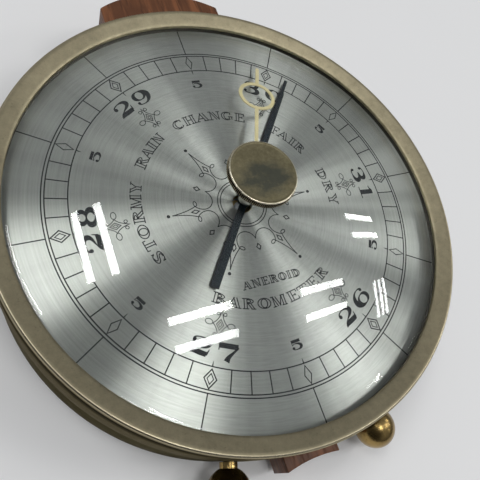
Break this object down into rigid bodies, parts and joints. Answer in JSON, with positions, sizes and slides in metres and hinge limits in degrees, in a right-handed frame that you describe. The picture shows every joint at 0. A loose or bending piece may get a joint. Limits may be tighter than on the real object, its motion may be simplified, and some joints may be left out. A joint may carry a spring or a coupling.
{
  "type": "aneroid barometer",
  "caption": "Round metal barometer with domed glass, brushed silver dial, black pointer, brass set hand and knob, wooden rim blocks, brass balls and a geared aneroid movement",
  "frame": {"origin": "centre of the flat back of the case", "axes": "+Z out through the dial and glass, +Y towards 12 o'clock of the dial, +X towards 3 o'clock"},
  "size_m": [0.146, 0.1733, 0.0483],
  "materials": {
    "bezel_metal": "aged satin nickel-bronze plate, worn bright on the lip",
    "case_metal": "aged satin nickel-bronze plate with darker mottling",
    "crystal": "clear domed glass, polished",
    "gasket": "dark compressed fibre",
    "dial_silver": "silvered, brushed in circles, with black printed scale",
    "pointer_black": "satin black enamel",
    "pale_brass": "pale lacquered brass",
    "knob_metal": "aged nickel-bronze plate, patinated top and milled edge",
    "brass": "turned movement brass",
    "ball_brass": "dark antique brass, polished",
    "steel": "turned and ground steel",
    "spring_steel": "blued spring steel",
    "wood": "reddish brown stained hardwood, satin varnish"
  },
  "bodies": {
    "case": {"case_cup": "case_metal", "bezel_ring": "bezel_metal", "crystal": "crystal", "crystal_seat_ring": "gasket", "dial_plate": "dial_silver", "upper_wood_block": "wood", "lower_wood_block": "wood", "block_screw_left": "steel", "block_screw_right": "steel", "lower_block_screw": "steel", "ball_screw_left": "steel", "ball_screw_right": "steel", "base_plate": "steel", "movement_screw_1": "steel", "movement_screw_2": "steel", "movement_screw_3": "steel", "bridge_screw_1": "steel", "bridge_screw_2": "steel", "bridge_screw_3": "steel", "spring_bracket": "steel", "lever_pivot_pin": "steel", "hanger_plate": "steel", "hanger_rivet_left": "steel", "hanger_rivet_right": "steel", "brass_ball_left": "ball_brass", "brass_ball_right": "ball_brass", "lower_bridge_plate": "brass", "upper_bridge_plate": "brass", "pillar_1": "brass", "pillar_2": "brass", "pillar_3": "brass", "bridge_spacer_1": "brass", "bridge_spacer_2": "brass", "bridge_spacer_3": "brass", "hairspring_stud": "brass", "capsule": "brass", "shaft_bearing_left": "brass", "shaft_bearing_right": "brass", "stem_bushing": "knob_metal", "hairspring": "spring_steel"},
    "pointer_arbor": {"arbor": "steel", "pointer": "pointer_black"},
    "sector": {"sector_gear": "brass"},
    "rod": {"link_rod": "steel"},
    "rocker": {"rocking_shaft": "steel"},
    "lever": {"main_lever": "spring_steel"},
    "capsule_top": {"capsule_post": "brass"},
    "setter": {"set_hand": "pale_brass", "set_knob": "knob_metal", "set_stem": "brass", "stem_washer": "brass"},
    "adjuster": {"adjusting_screw": "brass"}
  },
  "joints": [
    {"name": "sector_swing", "type": "hinge", "parent": "case", "child": "sector", "pos_m": [-0.0275, 0, 0.02], "axis": [0, 0, 1], "range_deg": [-24.75, 10.65], "stiffness_Nm_per_rad": 0.02},
    {"name": "pointer_turn", "type": "hinge", "parent": "case", "child": "pointer_arbor", "pos_m": [0, 0, 0.0295], "axis": [0, 0, 1], "range_deg": [-106.5, 247.5]},
    {"name": "rod_travel", "type": "slide", "parent": "case", "child": "rod", "axis": [0, 1, 0], "range_m": [-0.00095, 0.0022]},
    {"name": "shaft_rock", "type": "hinge", "parent": "case", "child": "rocker", "pos_m": [0, 0.024, 0.012], "axis": [1, 0, 0], "range_deg": [-13.43, 5.78]},
    {"name": "lever_tilt", "type": "hinge", "parent": "case", "child": "lever", "pos_m": [0, -0.05, 0.0146], "axis": [1, 0, 0], "range_deg": [-0.51, 1.18]},
    {"name": "capsule_lift", "type": "slide", "parent": "case", "child": "capsule_top", "axis": [0, 0, 1], "range_m": [-0.000214, 0.000496]},
    {"name": "set_knob_turn", "type": "hinge", "parent": "case", "child": "setter", "pos_m": [0, 0, 0.043], "axis": [0, 0, 1], "continuous": true},
    {"name": "adjuster_turn", "type": "hinge", "parent": "case", "child": "adjuster", "pos_m": [0, -0.055, 0.001], "axis": [0, 0, -1], "range_deg": [-360, 360]}
  ],
  "couplings": [
    {"joint": "pointer_turn", "follows": "sector_swing", "ratio": -10},
    {"joint": "rod_travel", "follows": "sector_swing", "m_per_rad": -0.005},
    {"joint": "shaft_rock", "follows": "sector_swing", "ratio": 0.53192},
    {"joint": "lever_tilt", "follows": "sector_swing", "ratio": -0.046934},
    {"joint": "capsule_lift", "follows": "sector_swing", "m_per_rad": -0.0011264}
  ]
}
